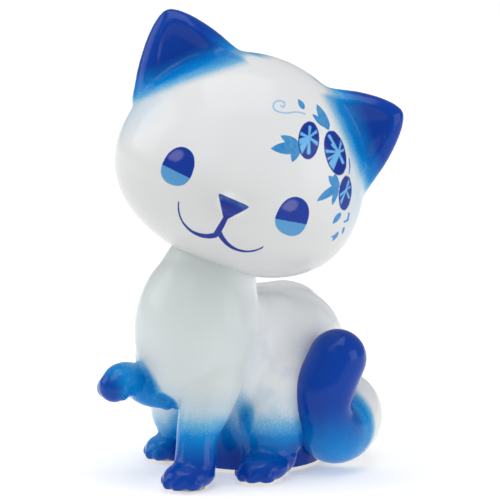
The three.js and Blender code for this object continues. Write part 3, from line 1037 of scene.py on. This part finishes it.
def body_paint():
    """A greenish white chest and flanks brightened with painted light, blue from the ground up and along the
    raised foreleg.
    """
    tones = colours()
    paint = glazed("airbrushed_body_glaze")
    local = paint.in_frame(Matrix.Translation(SEAT))
    x, y, z = paint.axes(local)
    level = z - y.fall(-30, -22) * FRONT_HIGHER + (-x).rise(8, 14) * RIGHT_LOWER
    main, fringe = GROUND_SPRAY
    low = level.fall(3, 18) * main + level.fall(14, 25) * fringe
    fold = paint.seen_from(local, FOLD, (0, 0, 0), FOLD_HALF)
    pool = paint.vector("LENGTH", fold, output=1).fall(0.3, 1) * FOLD_DENSITY
    paw = (PAW_END - SEAT) / MM
    _, off = paint.beside(local, RAISED_WRIST, paw + Vector((0, 1, -0.5)))
    arm = off.fall(6, 10.5) * ARM_DENSITY
    _, off = paint.beside(local, RAISED_ELBOW, (ELBOW - SEAT) / MM)
    elbow = off.fall(2.4, 4.4) * ARM_DENSITY
    claws = paint.away(local, paw + Vector((0, 0.5, -1))).fall(2.5, 6.5) * CLAWS_DENSITY
    back = y.rise(*BACK)
    drift = (paint.noise(DRIFT_SIZE, detail=3) * BACK_DRIFT).clamped() * z.fall(20, 44) * back
    density = low.maximum(pool).maximum(arm + claws).maximum(elbow) + drift
    # The chest keeps the glaze's own greenish white; the flanks' brighter white is painted light.
    base = paint.mix(back, tones.celadon, tones.painted_light_white)
    unglazed(paint, airbrush(paint, base, density.clamped()), z - BASE / MM)
    return paint.material


TAIL_WAY = (0.49, -0.872)  # across the curl, over which white gives way to blue
TAIL_RAISED = 6  # how much further on the raised end counts


def tail_paint():
    """White where it leaves the back, through a short fade to blue round the curl."""
    tones = colours()
    paint = glazed("airbrushed_tail_glaze")
    local = paint.in_frame(Matrix.Translation(SEAT))
    x, y, z = paint.axes(local)
    right, ahead = TAIL_WAY
    along = x * right + y * ahead + z.rise(19, 24) * TAIL_RAISED
    density = along.rise(5, 9) * 0.5 + along.rise(10, 13.5) * z.rise(3, 20) * 0.5
    drift = (paint.noise(DRIFT_SIZE, detail=3) * TAIL_DRIFT).clamped()
    unglazed(paint, airbrush(paint, tones.porcelain, (density + drift).clamped()), z - BASE / MM)
    return paint.material


FIBRE = 0.12  # in millimetres
FELT_DARK = 0.6  # the darkest fibre, of the felt's colour
FELT_ROUGHNESS = 0.95
FELT_SHEEN = 0.3
FELT_DEPTH = 0.1 * MM


def felt():
    """Pressed wool with fine fibres."""
    tones = colours()
    paint = Paint("pressed_felt")
    fibres = paint.noise(FIBRE, detail=4, roughness=0.7)
    dark = [FELT_DARK * tone for tone in tones.felt]
    paint.feed("Base Color", paint.mix(fibres + 0.5, dark, tones.felt))
    paint.feed("Roughness", FELT_ROUGHNESS)
    paint.feed("Sheen Weight", FELT_SHEEN)
    paint.ripple(fibres, FELT_DEPTH)
    return paint.material


# ---- Stage ---------------------------------------------------------------------------------------

AIM = seat(7.65, -9.81, 56.04)
VIEW_TURN = math.radians(40)
VIEW_RISE = math.radians(10)
VIEW_DISTANCE = 0.9
VIEW_WIDTH = 0.125  # of what the camera sees at the object
SENSOR = 36  # the camera's sensor, in millimetres
SKY_COLOUR = (0.96, 0.98, 1, 1)
SKY_STRENGTH = 0.38
FLOOR_RADIUS = 8
FLOOR_GLOW = 0.37  # lifts white paper to a white background
SOFTBOXES = (  # name, turn and rise in degrees, distance, size, power
    ("key_softbox", 5, 50, 3.0, 1.5, 6),
    ("right_softbox", 110, 12, 3.0, 1.8, 20),
    ("left_softbox", -58, 30, 3.0, 2.0, 24),
    ("top_softbox", 40, 86, 3.0, 2.4, 40),
)


def towards(turn, rise):
    """A direction from the object, turned from straight ahead of its body and raised."""
    return Vector((math.sin(turn) * math.cos(rise), -math.cos(turn) * math.cos(rise), math.sin(rise)))


def softbox(name, turn, rise, distance, size, power):
    """A square lamp that faces the object."""
    direction = towards(math.radians(turn), math.radians(rise))
    bpy.ops.object.select_all(action="DESELECT")
    bpy.ops.object.light_add(type="AREA", location=AIM + direction * distance)
    lamp = bpy.context.object
    lamp.name = name
    lamp.data.size = size
    lamp.data.energy = power
    lamp.rotation_euler = direction.to_track_quat("Z", "Y").to_euler()


def build_stage():
    """Adds a white floor under a pale sky, the softboxes and the camera."""
    scene = bpy.context.scene
    scene.view_settings.view_transform = "Standard"
    world = bpy.data.worlds.new("studio")
    world.use_nodes = True
    world.node_tree.nodes["Background"].inputs[0].default_value = SKY_COLOUR
    world.node_tree.nodes["Background"].inputs[1].default_value = SKY_STRENGTH
    scene.world = world
    bpy.ops.object.select_all(action="DESELECT")
    bpy.ops.mesh.primitive_circle_add(vertices=96, radius=FLOOR_RADIUS, fill_type="NGON")
    floor = bpy.context.object
    floor.name = "floor"
    paper = Paint("white_paper")
    paper.feed("Base Color", (0.8, 0.8, 0.8, 1))
    paper.feed("Emission Color", (1, 1, 1, 1))
    paper.feed("Emission Strength", FLOOR_GLOW)
    paper.feed("Roughness", 0.9)
    floor.data.materials.append(paper.material)
    for lamp in SOFTBOXES:
        softbox(*lamp)
    direction = towards(VIEW_TURN, VIEW_RISE)
    bpy.ops.object.camera_add(
        location=AIM + direction * VIEW_DISTANCE, rotation=direction.to_track_quat("Z", "Y").to_euler()
    )
    camera = bpy.context.object
    camera.data.sensor_width = SENSOR
    camera.data.lens = SENSOR * VIEW_DISTANCE / VIEW_WIDTH
    scene.camera = camera


# ---- Operators, panel and registration -----------------------------------------------------------

class KITTEN_OT_head(bpy.types.Operator):
    """Models and paints the head with its ears"""

    bl_idname = "kitten.head"
    bl_label = "Head and ears"

    def execute(self, context):
        build_head()
        return {"FINISHED"}


class KITTEN_OT_body(bpy.types.Operator):
    """Models and sprays the body with its four legs"""

    bl_idname = "kitten.body"
    bl_label = "Body and legs"

    def execute(self, context):
        build_body()
        return {"FINISHED"}


class KITTEN_OT_tail(bpy.types.Operator):
    """Models and sprays the curled tail"""

    bl_idname = "kitten.tail"
    bl_label = "Tail"

    def execute(self, context):
        build_tail()
        return {"FINISHED"}


class KITTEN_OT_pads(bpy.types.Operator):
    """Models the felt pads under the feet and the seat"""

    bl_idname = "kitten.pads"
    bl_label = "Felt pads"

    def execute(self, context):
        build_pads()
        return {"FINISHED"}


class KITTEN_OT_stage(bpy.types.Operator):
    """Adds the floor, the lamps and the camera"""

    bl_idname = "kitten.stage"
    bl_label = "Studio"

    def execute(self, context):
        build_stage()
        return {"FINISHED"}


OPERATORS = (KITTEN_OT_head, KITTEN_OT_body, KITTEN_OT_tail, KITTEN_OT_pads, KITTEN_OT_stage)


class KITTEN_PT_sidebar(bpy.types.Panel):
    """A button for each operator and a field for each size and colour"""

    bl_label = "Kitten figurine"
    bl_idname = "KITTEN_PT_sidebar"
    bl_space_type = "VIEW_3D"
    bl_region_type = "UI"
    bl_category = "Kitten"

    def draw(self, context):
        for operator in OPERATORS:
            self.layout.operator(operator.bl_idname)
        for group in (context.scene.kitten_sizes, context.scene.kitten_colours):
            for name in group.__annotations__:
                self.layout.prop(group, name)


CLASSES = (KittenSizes, KittenColours, *OPERATORS, KITTEN_PT_sidebar)


def register():
    for kind in CLASSES:
        bpy.utils.register_class(kind)
    bpy.types.Scene.kitten_sizes = PointerProperty(type=KittenSizes)
    bpy.types.Scene.kitten_colours = PointerProperty(type=KittenColours)


def unregister():
    del bpy.types.Scene.kitten_colours
    del bpy.types.Scene.kitten_sizes
    for kind in reversed(CLASSES):
        bpy.utils.unregister_class(kind)


def main():
    register()
    bpy.ops.kitten.stage()
    bpy.ops.kitten.head()
    bpy.ops.kitten.body()
    bpy.ops.kitten.tail()
    bpy.ops.kitten.pads()
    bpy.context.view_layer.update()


if __name__ == "__main__":
    main()
